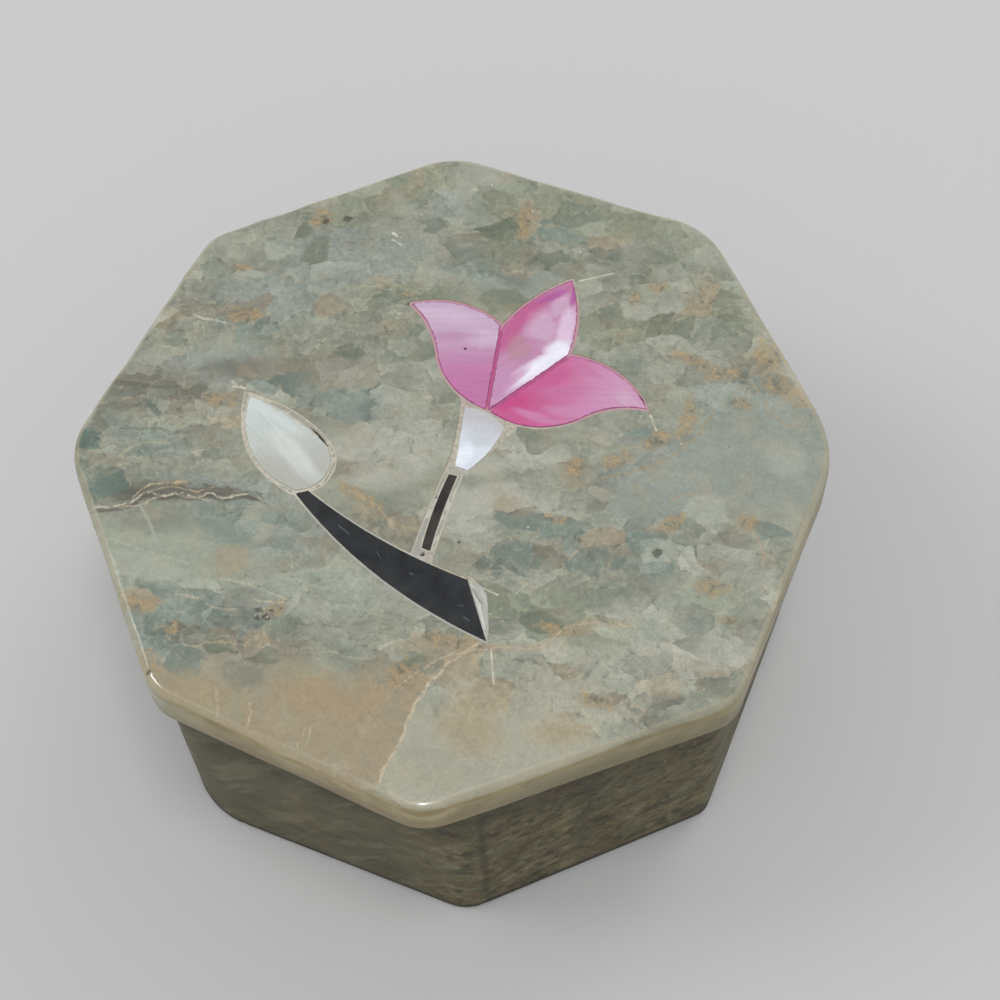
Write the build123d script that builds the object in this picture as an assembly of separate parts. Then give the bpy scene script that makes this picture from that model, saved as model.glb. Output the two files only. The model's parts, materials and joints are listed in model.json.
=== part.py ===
from build123d import *
import os
from math import cos, radians, sin

# A hand-cut stone trinket box. An octagonal base holds a hollow, and a slab lid lifts
# off it, kept in place by a plug that drops loosely into the hollow. A lily on a
# branch, of shell and black stone set in cement, is let into the top of the lid.
# Millimetres and degrees, +Z up. The origin is on the rest plane under the middle of
# the lid, and the foot of the lily points along -Y.

# Stone of the lid
lid_width = 76.0  # from one side to the facing one
lid_edge = 5.5  # thickness of the slab that overhangs the base
lid_turn = -1.2  # how far the loose lid lies turned on the base
lid_arris = 1.0
lid_under_bevel = 0.4

# Stone of the base
base_width = 71.6
base_height = 30.8
base_middle = (0.5, 0.6)  # the lid doesn't lie quite centred on the base
base_bevel = 0.4
rim_bevel = 0.3

# Hollow in the base, and the plug under the lid that drops into it
wall = 5.0
floor_thickness = 5.0
hollow_corner = 4.0
floor_fillet = 1.5
plug_height = 3.2
plug_clearance = 0.7  # to each wall of the hollow
plug_bevel = 0.5

# How the saw left the eight sides, anticlockwise from the front one:
# how far each is turned out of true, and how far it stands out.
lid_cuts = [
    (-2.5, -0.4),
    (-1.5, -0.5),
    (0.4, 0.1),
    (0.7, 0.4),
    (2.0, 0.4),
    (1.4, 0.2),
    (-1.7, -0.15),
    (0.3, -0.45),
]
base_cuts = [(0.0, 0.0)] * 7 + [(0.0, 1.6)]
true_cuts = [(0.0, 0.0)] * 8

# Radius ground on each upright corner, from the one right of the front side
lid_corners = [6.0, 5.0, 13.0, 9.0, 8.0, 5.0, 9.0, 5.0]
base_corners = [5.0, 3.0, 5.0, 5.0, 5.0, 5.0, 5.0, 10.0]

# Inlay
motif_height = 45.0  # from the foot of the branch to the tip of the middle petal
inlay_thickness = 1.3
bed_thickness = 0.4  # cement under each inlaid piece
joint = 0.3  # cement between two inlaid pieces
petal_grout = 0.3  # cement round the outside of each kind of piece
calyx_grout = 0.15
stem_grout = 0.6
branch_grout = 0.25
bud_grout = 0.45

# Outlines of the inlay in the plane of the lid, as stretches of two points, straight,
# or three, an arc. The points that several stretches share have names.
heart = (1.9, 6.3)
left_crown = (-0.75, 17.0)
right_crown = (7.3, 16.1)
left_tip = (-11.4, 16.3)
left_knee = (-5.8, 10.6)
middle_tip = (4.05, 25.8)
right_tip = (17.7, 12.6)
right_knee = (11.4, 8.8)
petal_left_outline = [
    (left_tip, (-6.7, 18.1), left_crown),
    (left_crown, heart),
    (heart, (-2.5, 7.5), left_knee),
    (left_knee, (-8.2, 14.0), left_tip),
]
petal_middle_outline = [
    (left_crown, (0.75, 21.2), middle_tip),
    (middle_tip, (6.5, 20.9), right_crown),
    (right_crown, heart),
    (heart, left_crown),
]
petal_right_outline = [
    (right_crown, (12.6, 15.9), right_tip),
    (right_tip, (14.4, 11.5), right_knee),
    (right_knee, (7.2, 6.1), heart),
    (heart, right_crown),
]
calyx_outline = [
    ((-0.6, 5.8), heart),
    (heart, (4.4, 4.9)),
    ((4.4, 4.9), (4.1, 1.9), (2.8, -1.5)),
    ((2.8, -1.5), (1.3, -1.5)),
    ((1.3, -1.5), (0.4, 2.0), (-0.6, 5.8)),
]
stem_outline = [
    ((1.1, -2.6), (1.3, -7.2), (1.95, -11.8)),
    ((1.95, -11.8), (2.9, -11.8)),
    ((2.9, -11.8), (2.3, -7.2), (2.0, -2.5)),
    ((2.0, -2.5), (1.1, -2.6)),
]
branch_foot = (12.2, -19.2)
branch_outline = [
    ((-12.1, -9.8), (-2.2, -12.5), (7.8, -13.5)),
    ((7.8, -13.5), branch_foot),
    (branch_foot, (1.35, -17.15), (-12.9, -10.7)),
    ((-12.9, -10.7), (-12.1, -9.8)),
]
bud_tip = (-22.8, -1.3)
bud_outline = [
    (bud_tip, (-17.5, -2.2), (-12.6, -3.95)),
    ((-12.6, -3.95), (-10.9, -7.1), (-13.2, -10.35)),
    ((-13.2, -10.35), (-19.2, -8.0), bud_tip),
]

# Where the pockets were cut wider than the cement round their pieces: above the bud,
# on both sides of the calyx, all along the stem, and past the branch's cut end.
bud_pocket_outline = [
    ((-23.7, -1.0), (-17.9, -1.25), (-12.2, -3.5)),
    ((-12.2, -3.5), (-10.3, -7.4), (-13.4, -11.0)),
    ((-13.4, -11.0), (-19.2, -8.3), (-23.1, -3.0)),
    ((-23.1, -3.0), (-23.7, -1.0)),
]
calyx_pocket_outline = [
    ((-1.5, 6.8), (-0.35, 3.0), (0.5, -2.6)),
    ((0.5, -2.6), (2.9, -2.1)),
    ((2.9, -2.1), (4.3, 1.6), (5.7, 5.6)),
    ((5.7, 5.6), (-1.5, 6.8)),
]
stem_pocket_outline = [
    ((0.5, -2.0), (0.65, -7.0), (1.2, -13.2)),
    ((1.2, -13.2), (3.7, -13.2)),
    ((3.7, -13.2), (2.85, -7.2), (2.5, -2.0)),
    ((2.5, -2.0), (0.5, -2.0)),
]
branch_pocket_outline = [
    ((7.6, -12.9), (8.9, -13.4), (10.3, -14.35)),
    ((10.3, -14.35), (11.2, -16.2), (12.3, -18.9)),
    ((12.3, -18.9), (7.6, -14.0)),
    ((7.6, -14.0), (7.6, -12.9)),
]

drawn_height = middle_tip[1] - branch_foot[1]
lid_top = base_height + lid_edge
pocket_depth = inlay_thickness + bed_thickness
grout = {
    "petal_left": petal_grout,
    "petal_middle": petal_grout,
    "petal_right": petal_grout,
    "calyx": calyx_grout,
    "stem": stem_grout,
    "branch": branch_grout,
    "bud": bud_grout,
}
plug_width = base_width - 2 * (wall + plug_clearance)
plug_corner = hollow_corner - plug_clearance


def octagon(width, turn, cuts, corners):
    """Eight straight sides, each with its own cut, meeting in rounded corners."""
    angles = [turn - 90 + 45 * side + cuts[side][0] for side in range(8)]
    reaches = [width / 2 + cuts[side][1] for side in range(8)]
    points = []
    for side in range(8):
        a, b = radians(angles[side]), radians(angles[(side + 1) % 8])
        reach, next_reach = reaches[side], reaches[(side + 1) % 8]
        x = (reach * sin(b) - next_reach * sin(a)) / sin(b - a)
        y = (next_reach * cos(a) - reach * cos(b)) / sin(b - a)
        points.append((x, y))
    return make_face(FilletPolyline(*points, radius=corners, close=True))


def slab(outline, bottom, height):
    """The outline as a solid of this height that stands on the level `bottom`."""
    return Pos(0, 0, bottom) * extrude(outline, height)


def edges_at(part, height):
    return part.edges().filter_by_position(Axis.Z, height, height)


def drawn(outline):
    """The outline as a face, at the motif's real size."""
    edges = [ThreePointArc(*s) if len(s) == 3 else Line(*s) for s in outline]
    return scale(make_face(edges), by=motif_height / drawn_height)


def beside(outline, *neighbours):
    """The outline, ground back to leave a cement joint to each neighbour."""
    for neighbour in neighbours:
        outline = outline - offset(neighbour, joint)
    return outline


def base_box():
    outer = Pos(*base_middle) * octagon(base_width, 0, base_cuts, base_corners)
    inner = Pos(*base_middle) * octagon(
        base_width - 2 * wall, 0, true_cuts, [hollow_corner] * 8
    )
    body = slab(outer, 0, base_height)
    body -= slab(inner, floor_thickness, base_height - floor_thickness)
    body = fillet(edges_at(body, floor_thickness), floor_fillet)
    body = chamfer(edges_at(body, 0), base_bevel)
    return chamfer(edges_at(body, base_height), rim_bevel)


def lid(pocket):
    outline = octagon(lid_width, lid_turn, lid_cuts, lid_corners)
    top = slab(outline, base_height, lid_edge)
    top = fillet(edges_at(top, lid_top), lid_arris)
    top = chamfer(edges_at(top, base_height), lid_under_bevel)
    plug_outline = octagon(plug_width, lid_turn, true_cuts, [plug_corner] * 8)
    plug = slab(Pos(*base_middle) * plug_outline, base_height - plug_height, plug_height)
    plug = chamfer(edges_at(plug, base_height - plug_height), plug_bevel)
    return top + plug - pocket


def inlay_faces():
    """Each inlaid piece's face, ground to leave a joint to those set before it."""
    petal_middle = drawn(petal_middle_outline)
    petal_left = beside(drawn(petal_left_outline), petal_middle)
    petal_right = beside(drawn(petal_right_outline), petal_middle)
    calyx = beside(drawn(calyx_outline), petal_left, petal_middle, petal_right)
    bud = drawn(bud_outline)
    branch = beside(drawn(branch_outline), bud)
    return {
        "petal_left": petal_left,
        "petal_middle": petal_middle,
        "petal_right": petal_right,
        "calyx": calyx,
        "stem": beside(drawn(stem_outline), calyx, branch),
        "branch": branch,
        "bud": bud,
    }


def pocket_face(faces):
    """One pocket in the lid, as the pockets of all the pieces run into each other."""
    outline = drawn(bud_pocket_outline)
    outline += drawn(calyx_pocket_outline)
    outline += drawn(stem_pocket_outline)
    outline += drawn(branch_pocket_outline)
    for name, face in faces.items():
        outline += offset(face, grout[name])
    return outline


def inlay_cement(pocket, inlay):
    """What the pieces leave of the pocket: the bed under them and the joints."""
    cement = pocket
    for piece in inlay.values():
        cement -= piece
    return cement


faces = inlay_faces()
pocket = slab(pocket_face(faces), lid_top - pocket_depth, pocket_depth)
inlay = {
    name: slab(face, lid_top - inlay_thickness, inlay_thickness)
    for name, face in faces.items()
}
nodes = {
    "base_box": base_box(),
    "lid": lid(pocket),
    "inlay_cement": inlay_cement(pocket, inlay),
    **inlay,
}

os.makedirs("parts", exist_ok=True)
for name, part in nodes.items():
    export_step(part, f"parts/{name}.step")
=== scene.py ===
# A hand-cut soapstone trinket box with a lily of shell and black stone let into its lid.
import json
import math

import bmesh
import bpy
from mathutils import Matrix, Vector, noise
from mathutils.kdtree import KDTree


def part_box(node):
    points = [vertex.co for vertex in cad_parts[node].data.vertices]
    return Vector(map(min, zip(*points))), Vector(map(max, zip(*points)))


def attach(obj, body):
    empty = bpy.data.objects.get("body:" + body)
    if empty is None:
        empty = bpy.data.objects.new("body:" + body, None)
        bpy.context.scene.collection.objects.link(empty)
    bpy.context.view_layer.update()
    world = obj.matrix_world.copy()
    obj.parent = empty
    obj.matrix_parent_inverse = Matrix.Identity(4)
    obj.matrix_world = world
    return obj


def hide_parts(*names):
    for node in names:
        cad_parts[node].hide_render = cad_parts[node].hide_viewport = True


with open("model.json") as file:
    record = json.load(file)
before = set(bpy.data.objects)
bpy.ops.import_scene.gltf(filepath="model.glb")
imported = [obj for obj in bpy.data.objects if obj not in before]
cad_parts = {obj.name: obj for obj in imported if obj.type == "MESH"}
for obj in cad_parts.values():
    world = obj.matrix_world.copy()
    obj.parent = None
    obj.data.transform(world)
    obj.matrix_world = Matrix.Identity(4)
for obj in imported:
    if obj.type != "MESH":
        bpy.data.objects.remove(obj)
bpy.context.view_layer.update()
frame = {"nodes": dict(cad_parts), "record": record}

mm = 0.001
touch = 0.01 * mm  # closer than this counts as the same place
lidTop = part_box("lid")[1].z
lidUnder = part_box("base_box")[1].z


def linearColour(hexText):
    # sRGB hex to the linear colour that a shader takes
    channels = [int(hexText[i:i + 2], 16) / 255 for i in (1, 3, 5)]
    return [c / 12.92 if c <= 0.04045 else ((c + 0.055) / 1.055) ** 2.4 for c in channels] + [1.0]


def addNode(tree, kind, links, stops=(), **settings):
    # one shader node, with its settings, a ramp's stops, and what goes into its sockets: values, sockets,
    # or nodes, which give their first output
    node = tree.nodes.new("ShaderNode" + kind)
    for name, value in settings.items():
        setattr(node, name, value)
    for place, hexText in stops[1:-1]:
        node.color_ramp.elements.new(place)
    for number, (place, hexText) in enumerate(stops):
        node.color_ramp.elements[number].position = place
        node.color_ramp.elements[number].color = linearColour(hexText)
    for socket, value in links.items():
        if isinstance(value, bpy.types.Node):
            value = value.outputs[0]
        if isinstance(value, bpy.types.NodeSocket):
            tree.links.new(value, node.inputs[socket])
        else:
            node.inputs[socket].default_value = value
    return node


def newMaterial(name):
    material = bpy.data.materials.new(name)
    material.use_nodes = True
    material.node_tree.nodes.clear()
    return material, material.node_tree


# Camera, floor and light
photoCamera = {
    "place": (47.87, -92.92, 203.40),  # mm
    "lookAt": (7.32, -3.60, 36.30),
    "roll": -2.56,  # degrees
    "lens": 66.9,
    "nearest": 0.01,  # m
}


def placeCamera(c):
    data = bpy.data.cameras.new("photoCamera")
    data.lens = c["lens"]
    data.clip_start = c["nearest"]
    camera = bpy.data.objects.new("photoCamera", data)
    place, target = Vector(c["place"]) * mm, Vector(c["lookAt"]) * mm
    turn = (target - place).to_track_quat("-Z", "Y").to_matrix().to_4x4()
    roll = Matrix.Rotation(math.radians(c["roll"]), 4, "Z")
    camera.matrix_world = Matrix.Translation(place) @ turn @ roll
    bpy.context.scene.collection.objects.link(camera)
    bpy.context.scene.camera = camera


studio = {
    "floorColour": "#D2D1CE",
    "floorHalf": 30.0,  # m
    "floorDrop": 0.05 * mm,  # under the rest plane
    "skyColour": "#F6F8FF",
    "skyStrength": 0.62,
    # name, place (m), size (m), power (W), and whether it lights matt surfaces: the small bright windows
    # show only in gloss, as the wet-looking glints on the lid's rounded corners
    "lamps": [
        ("overhead", (0.10, -0.05, 0.75), 0.16, 0.8, True),
        ("window", (-0.55, -0.15, 0.60), 0.35, 1.0, True),
        ("back", (0.15, 0.75, 0.55), 0.6, 1.6, True),
        ("glintFront", (0.16, -0.50, 0.62), 0.10, 6.0, False),
        ("glintLeft", (-0.56, -0.25, 0.60), 0.10, 6.0, False),
    ],
}


def paleFloorPaint():
    # matt painted board: flat and pale, keeps the shadow and shows nearly no gloss
    material, tree = newMaterial("paintedBoardRolled")
    shader = addNode(tree, "BsdfPrincipled", {
        "Base Color": linearColour(studio["floorColour"]), "Roughness": 0.75,
        "Specular IOR Level": 0.2,
    })
    addNode(tree, "OutputMaterial", {"Surface": shader})
    return material


def buildStudio(s):
    half = s["floorHalf"]
    mesh = bpy.data.meshes.new("floor")
    corners = [(-half, -half), (half, -half), (half, half), (-half, half)]
    mesh.from_pydata([(x, y, -s["floorDrop"]) for x, y in corners], [], [(0, 1, 2, 3)])
    floor = bpy.data.objects.new("floor", mesh)
    bpy.context.scene.collection.objects.link(floor)
    mesh.materials.append(paleFloorPaint())
    world = bpy.data.worlds.new("softRoom")
    world.use_nodes = True
    bpy.context.scene.world = world
    tree = world.node_tree
    tree.nodes.clear()
    sky = addNode(tree, "Background", {
        "Color": linearColour(s["skyColour"]), "Strength": s["skyStrength"],
    })
    addNode(tree, "OutputWorld", {"Surface": sky})
    for name, place, size, power, matt in s["lamps"]:
        lamp = bpy.data.lights.new(name, "AREA")
        lamp.shape = "DISK"
        lamp.size = size
        lamp.energy = power
        thing = bpy.data.objects.new(name, lamp)
        thing.location = place
        thing.rotation_euler = (-Vector(place)).to_track_quat("-Z", "Y").to_euler()  # aims at the middle
        thing.visible_diffuse = matt
        bpy.context.scene.collection.objects.link(thing)


placeCamera(photoCamera)
buildStudio(studio)
print("stage: camera, floor and lamps")


# Forms: each CAD piece gets a copy with the marks of the hand that cut and ground it
bodyOf = {}
for bodyName, members in frame["record"]["behaviour"]["bodies"].items():
    for member in members:
        bodyOf[member] = bodyName


def copyOfNode(node):
    shape = bmesh.new()
    shape.from_mesh(frame["nodes"][node].data)
    bmesh.ops.remove_doubles(shape, verts=shape.verts, dist=0.0005 * mm)
    return shape


def sawIntoGrid(shape, spacing):
    # cuts the faces along level planes, so that they can be bent between them
    for axis in range(3):
        places = [v.co[axis] for v in shape.verts]
        low, high = min(places), max(places)
        direction = Vector([float(axis == i) for i in range(3)])
        for step in range(1, int((high - low) / spacing) + 1):
            everything = shape.verts[:] + shape.edges[:] + shape.faces[:]
            place = direction * (low + step * spacing)
            bmesh.ops.bisect_plane(
                shape, geom=everything, dist=touch, plane_co=place, plane_no=direction
            )


def wobble(point, size, seed):
    # 0 to 1, smooth over lengths of about size
    return 0.5 + 0.5 * max(-1.0, min(1.0, 1.6 * noise.noise(point / size + Vector((seed, 0, 0)))))


lidPolish = {"dip": 0.035 * mm, "size": 9 * mm}  # the hand-polished top isn't quite flat


def lowerTop(shape, depth=touch, sink=0.0):
    # the whole top of the lid is polished as one, so all its pieces dip together: all points less than
    # a depth under it
    for v in shape.verts:
        if v.co.z > lidTop - depth:
            place = Vector((v.co.x, v.co.y, 0))
            v.co.z -= sink + lidPolish["dip"] * wobble(place, lidPolish["size"], 3)


def roundedLump(shape, place, size, seed):
    # an uneven ball, which bites a pit or a chip
    turn = Matrix.Rotation(seed * 1.7, 4, "Z") @ Matrix.Rotation(seed * 0.9, 4, "X")
    made = bmesh.ops.create_icosphere(shape, subdivisions=2, radius=1.0)["verts"]
    for v in made:
        v.co *= 0.8 + 0.4 * noise.noise(v.co * 1.3 + Vector((seed * 5.1, 0, 0)))  # dents and bumps
        v.co = Vector(place) + turn @ Vector([v.co[i] * size[i] for i in range(3)])


def slit(shape, start, end, width, depth):
    # a boat-shaped saw cut in the top of the lid, deepest in the middle
    a, b = Vector((*start, 0)) * mm, Vector((*end, 0)) * mm
    across = (b - a).cross(Vector((0, 0, 1))).normalized() * width / 2
    over = Vector((0, 0, lidTop + 0.05 * mm))
    middle = (a + b) / 2
    points = [a + over, b + over, middle + across + over, middle - across + over]
    points.append(middle + Vector((0, 0, lidTop - depth)))
    verts = [shape.verts.new(p) for p in points]
    bmesh.ops.convex_hull(shape, input=verts)


def cutAway(shape, cutter):
    # takes the cutter's closed forms out of the shape
    things = []
    for name, part in (("shape", shape), ("cutter", cutter)):
        mesh = bpy.data.meshes.new(name)
        bmesh.ops.recalc_face_normals(part, faces=part.faces)
        part.to_mesh(mesh)
        part.free()
        things.append(bpy.data.objects.new(name, mesh))
        bpy.context.scene.collection.objects.link(things[-1])
    difference = things[0].modifiers.new("cut", "BOOLEAN")
    difference.operation = "DIFFERENCE"
    difference.object = things[1]
    difference.solver = "EXACT"
    difference.use_self = True
    graph = bpy.context.evaluated_depsgraph_get()
    result = bpy.data.meshes.new_from_object(things[0].evaluated_get(graph))
    shape = bmesh.new()
    shape.from_mesh(result)
    for thing in things:
        bpy.data.meshes.remove(thing.data)
    bpy.data.meshes.remove(result)
    return shape


def finishPiece(shape, node, name, sharp=35):
    # makes the shape an object that stands for its CAD node; edges are sharp from an angle (degrees) on
    for edge in shape.edges:
        edge.smooth = edge.calc_face_angle(0) < math.radians(sharp)
    for face in shape.faces:
        face.smooth = True
    mesh = bpy.data.meshes.new(name)
    shape.to_mesh(mesh)
    shape.free()
    if mesh.attributes.get("custom_normal"):
        mesh.attributes.remove(mesh.attributes["custom_normal"])
    piece = bpy.data.objects.new(name, mesh)
    bpy.context.scene.collection.objects.link(piece)
    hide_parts(node)
    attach(piece, bodyOf[node])
    return piece


def rimPoint(node, direction, height, band=1.2 * mm, offLine=3):
    # the outermost point of a node in a direction (degrees) at about a height, close to its middle line
    a = math.radians(direction)
    way = Vector((math.cos(a), math.sin(a), 0))
    near = [v.co for v in frame["nodes"][node].data.vertices if abs(v.co.z - height) < band]
    best = max(near, key=lambda co: co.dot(way) - offLine * abs(co.cross(way).z))
    return Vector((best.x, best.y, height)), way


lidForm = {
    "grid": 1.0 * mm,
    "sideDepth": 0.16 * mm,  # how far the hand-ground sides wander
    "arris": 1.0 * mm,  # radius of the rounded upper edge
    "arrisDepth": 0.22 * mm,
    "waves": 9 * mm,
    "sidesBeyond": 34 * mm,  # the sides lie farther from the middle than this
    "underBevel": 0.2 * mm,  # left as it is
    "arrisMiddle": 0.29,  # share of the arris: how far in and down the middle of its curve lies
    "chipDepth": 0.6,  # share of a chip's size that bites
    # saw cuts that overran the inlay, mm: start, end
    "overruns": [
        ((4.75, 25.9), (8.15, 28.4)), ((18.25, 12.1), (19.65, 10.3)),
        ((9.45, -13.8), (11.45, -14)), ((12.95, -19.8), (14.75, -23.4)),
        ((-25.25, -1), (-23.65, -0.6)),
    ],
    "overrunWidth": 0.22 * mm,
    "overrunDepth": 0.12 * mm,
    # chips in the upper edge: direction (degrees), size (mm)
    "chips": [
        (-117, 0.28), (-60, 0.3), (-37, 0.4), (-12, 0.35), (8, 0.45), (27, 0.3), (38, 0.5), (71, 0.3),
        (98, 0.28), (131, 0.35), (162, 0.4), (-172, 0.45),
    ],
    # pits in the top where soft spots fell out, mm: place, size
    "pits": [
        ((-10.2, -24.2), 0.35), ((-9.4, -24.9), 0.28), ((-10.6, -25.1), 0.22), ((24.5, -3.5), 0.35),
        ((-26, 24.2), 0.22), ((-22.2, 25.6), 0.25), ((30.2, 8.4), 0.2),
        ((16.4, -9.6), 0.18), ((6.2, -8.8), 0.2),
    ],
}


def buildLid(f):
    shape = copyOfNode("lid")
    cutter = bmesh.new()
    for start, end in f["overruns"]:
        slit(cutter, start, end, f["overrunWidth"], f["overrunDepth"])
    for seed, (direction, size) in enumerate(f["chips"], 1):
        # the ball stands just off the middle of the rounded edge
        place, way = rimPoint("lid", direction, lidTop - f["arris"])
        radius = size * mm
        inward = f["arrisMiddle"] * f["arris"] - f["chipDepth"] * radius
        place += Vector((0, 0, f["arris"] - inward)) - way * inward
        roundedLump(cutter, place, (radius * 1.2, radius, radius), seed)
    for seed, ((x, y), size) in enumerate(f["pits"], 40):
        radius = size * mm
        place = (x * mm, y * mm, lidTop + 0.3 * radius)
        roundedLump(cutter, place, (radius * 1.2, radius, radius), seed)
    shape = cutAway(shape, cutter)
    sawIntoGrid(shape, f["grid"])
    shape.normal_update()
    for v in shape.verts:
        onEdge = lidUnder + f["underBevel"] < v.co.z < lidTop - 0.001 * mm
        if onEdge and v.co.xy.length > f["sidesBeyond"] and v.normal.xy.length > 0.01:
            # the rounded edge turns from level to upright, so its way out is told from its height
            up = max(0.0, (v.co.z - lidTop) / f["arris"] + 1)
            side = math.sqrt(1 - up * up)
            way = Vector((*(v.normal.xy.normalized() * side), up))
            depth = f["sideDepth"] * side * wobble(v.co, f["waves"], 11)
            depth += f["arrisDepth"] * 2 * side * up * wobble(v.co, f["waves"] / 2, 23)
            v.co -= way * depth
    lowerTop(shape)
    return finishPiece(shape, "lid", "lidStone")


baseForm = {
    "grid": 1.0 * mm,
    "sideDepth": 0.22 * mm,
    "waves": 14 * mm,
    "sidesBeyond": 33 * mm,  # the outer sides lie farther from the middle than this
    "bevel": 0.6 * mm,  # the bevels at the foot and under the lid keep their form
    "rimBevel": 0.5 * mm,
    "fade": 3 * mm,  # over which the sides start to wander
    # chips round the foot: direction (degrees), size (mm)
    "chips": [
        (-128, 0.6), (-97, 0.5), (-62, 0.55), (-40, 0.4), (-15, 0.6), (30, 0.5), (70, 0.6), (140, 0.5),
        (175, 0.6),
    ],
    "chipHeight": 0.5 * mm,
    "chipDrop": 0.3 * mm,
}


def buildBase(f):
    shape = copyOfNode("base_box")
    cutter = bmesh.new()
    for seed, (direction, size) in enumerate(f["chips"], 70):
        place = rimPoint("base_box", direction, f["chipHeight"])[0] - Vector((0, 0, f["chipDrop"]))
        radius = size * mm
        roundedLump(cutter, place, (radius, radius, radius * 1.2), seed)
    shape = cutAway(shape, cutter)
    sawIntoGrid(shape, f["grid"])
    shape.normal_update()
    for v in shape.verts:
        up, down = v.co.z - f["bevel"], lidUnder - f["rimBevel"] - v.co.z
        if up > 0 and down > 0 and v.normal.xy.length > 0.5 and v.co.xy.length > f["sidesBeyond"]:
            fade = min(1.0, up / f["fade"], down / f["fade"])
            v.co -= v.normal * f["sideDepth"] * fade * wobble(v.co, f["waves"], 5)
    return finishPiece(shape, "base_box", "baseStone")


def topOutline(shape):
    # the edges round the flush top of an inlaid piece
    return [
        e for e in shape.edges
        if min(v.co.z for v in e.verts) > lidTop - touch and e.calc_face_angle(0) > 1
    ]


def storeEdgeDistance(shape, outline, spacing=0.04 * mm):
    # keeps on each point how far it is from the outline, in mm
    dots = []
    for a, b in outline:
        count = 1 + int((b - a).length / spacing)
        dots += [a.lerp(b, number / count) for number in range(count + 1)]
    near = KDTree(len(dots))
    for number, dot in enumerate(dots):
        near.insert(dot, number)
    near.balance()
    edgeLayer = shape.verts.layers.float.new("edgeDistance")
    for v in shape.verts:
        v[edgeLayer] = near.find(v.co)[2] / mm


cementForm = {
    "grid": 0.5 * mm,
    "sink": 0.05 * mm,  # cement wears a little below the stone
    "lumps": 0.04 * mm,
    "lumpSize": 0.7 * mm,
    # gaps that the cement never filled, mm: start, end, width, depth
    "gaps": [
        ((-15.2, -2.6), (-12.9, -3.5), 0.3, 0.9), ((-14.4, -2.9), (-11.9, -4.3), 0.34, 0.9),
        ((16, 14.3), (17.5, 12.95), 0.3, 0.8),
    ],
    "pits": [((2.3, -12.5), 0.34), ((1.0, -5.7), 0.16), ((2.75, -9.3), 0.12), ((0.1, 1.7), 0.1)],
}


def buildCement(f):
    shape = copyOfNode("inlay_cement")
    outline = [tuple(v.co.copy() for v in e.verts) for e in topOutline(shape)]
    cutter = bmesh.new()
    for start, end, width, depth in f["gaps"]:
        slit(cutter, start, end, width * mm, depth * mm)
    for seed, ((x, y), size) in enumerate(f["pits"], 90):
        radius = size * mm
        roundedLump(cutter, (x * mm, y * mm, lidTop), (radius, radius, radius * 2), seed)
    shape = cutAway(shape, cutter)
    sawIntoGrid(shape, f["grid"])
    storeEdgeDistance(shape, outline)
    for v in shape.verts:
        if v.co.z > lidTop - touch:
            v.co.z -= f["lumps"] * wobble(v.co, f["lumpSize"], 31)
    lowerTop(shape, f["lumps"] + touch, f["sink"])
    return finishPiece(shape, "inlay_cement", "cementBed")


inlayForm = {
    "grid": 0.3 * mm,
    "edgeRound": 0.07 * mm,  # the upper edge, eased by the polishing
}


def buildInlay(node, name, f):
    shape = copyOfNode(node)
    border = topOutline(shape)
    outline = [tuple(v.co.copy() for v in e.verts) for e in border]
    bmesh.ops.bevel(shape, geom=border, offset=f["edgeRound"], segments=2, affect="EDGES", profile=0.6)
    sawIntoGrid(shape, f["grid"])
    storeEdgeDistance(shape, outline)
    lowerTop(shape)
    return finishPiece(shape, node, name)


lidStone = buildLid(lidForm)
baseStone = buildBase(baseForm)
print("stage: stones, ground and chipped")
cementBed = buildCement(cementForm)
inlayNames = {
    "petal_left": "petalLeftShell", "petal_middle": "petalMiddleShell",
    "petal_right": "petalRightShell", "calyx": "calyxShell", "bud": "budShell",
    "stem": "stemStone", "branch": "branchStone",
}
inlay = {node: buildInlay(node, name, inlayForm) for node, name in inlayNames.items()}
print("stage: inlay and cement")

# Materials: every pattern is laid out in millimetres of the part's own frame


def millimetres(tree):
    # the point on the object in mm
    place = addNode(tree, "TexCoord", {}).outputs["Object"]
    return addNode(tree, "VectorMath", {0: place, "Scale": 1 / mm}, operation="SCALE")


def stirred(tree, point, size, reach):
    # the point, pushed about by as much as reach (mm) in eddies of a size (mm)
    eddies = addNode(tree, "TexNoise", {"Vector": point, "Scale": 1 / size, "Detail": 3.0})
    centred = addNode(
        tree, "VectorMath", {0: eddies.outputs["Color"], 1: (0.5, 0.5, 0.5)}, operation="SUBTRACT"
    )
    push = addNode(tree, "VectorMath", {0: centred, "Scale": reach}, operation="SCALE")
    return addNode(tree, "VectorMath", {0: point, 1: push}, operation="ADD")


def between(tree, value, low, high):
    # 0 at low to 1 at high; low may be the greater
    ends = {"Value": value, "From Min": low, "From Max": high}
    return addNode(tree, "MapRange", ends, interpolation_type="SMOOTHSTEP")


def newGroup(name):
    # a tree of its own that makes a value from a point: it keeps the material's tree small and quick
    inner = bpy.data.node_groups.new(name, "ShaderNodeTree")
    inner.interface.new_socket("Point", in_out="INPUT", socket_type="NodeSocketVector")
    inner.interface.new_socket("Value", in_out="OUTPUT", socket_type="NodeSocketFloat")
    return inner, inner.nodes.new("NodeGroupInput")


def useGroup(tree, inner, node, point):
    # puts the group to use, with the node that gives its value
    inner.links.new(node.outputs[0], inner.nodes.new("NodeGroupOutput").inputs[0])
    return addNode(tree, "Group", {"Point": point}, node_tree=inner)


patchTurn = 20  # degrees: patches lie along the bands of the stone unless they name another turn


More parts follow.
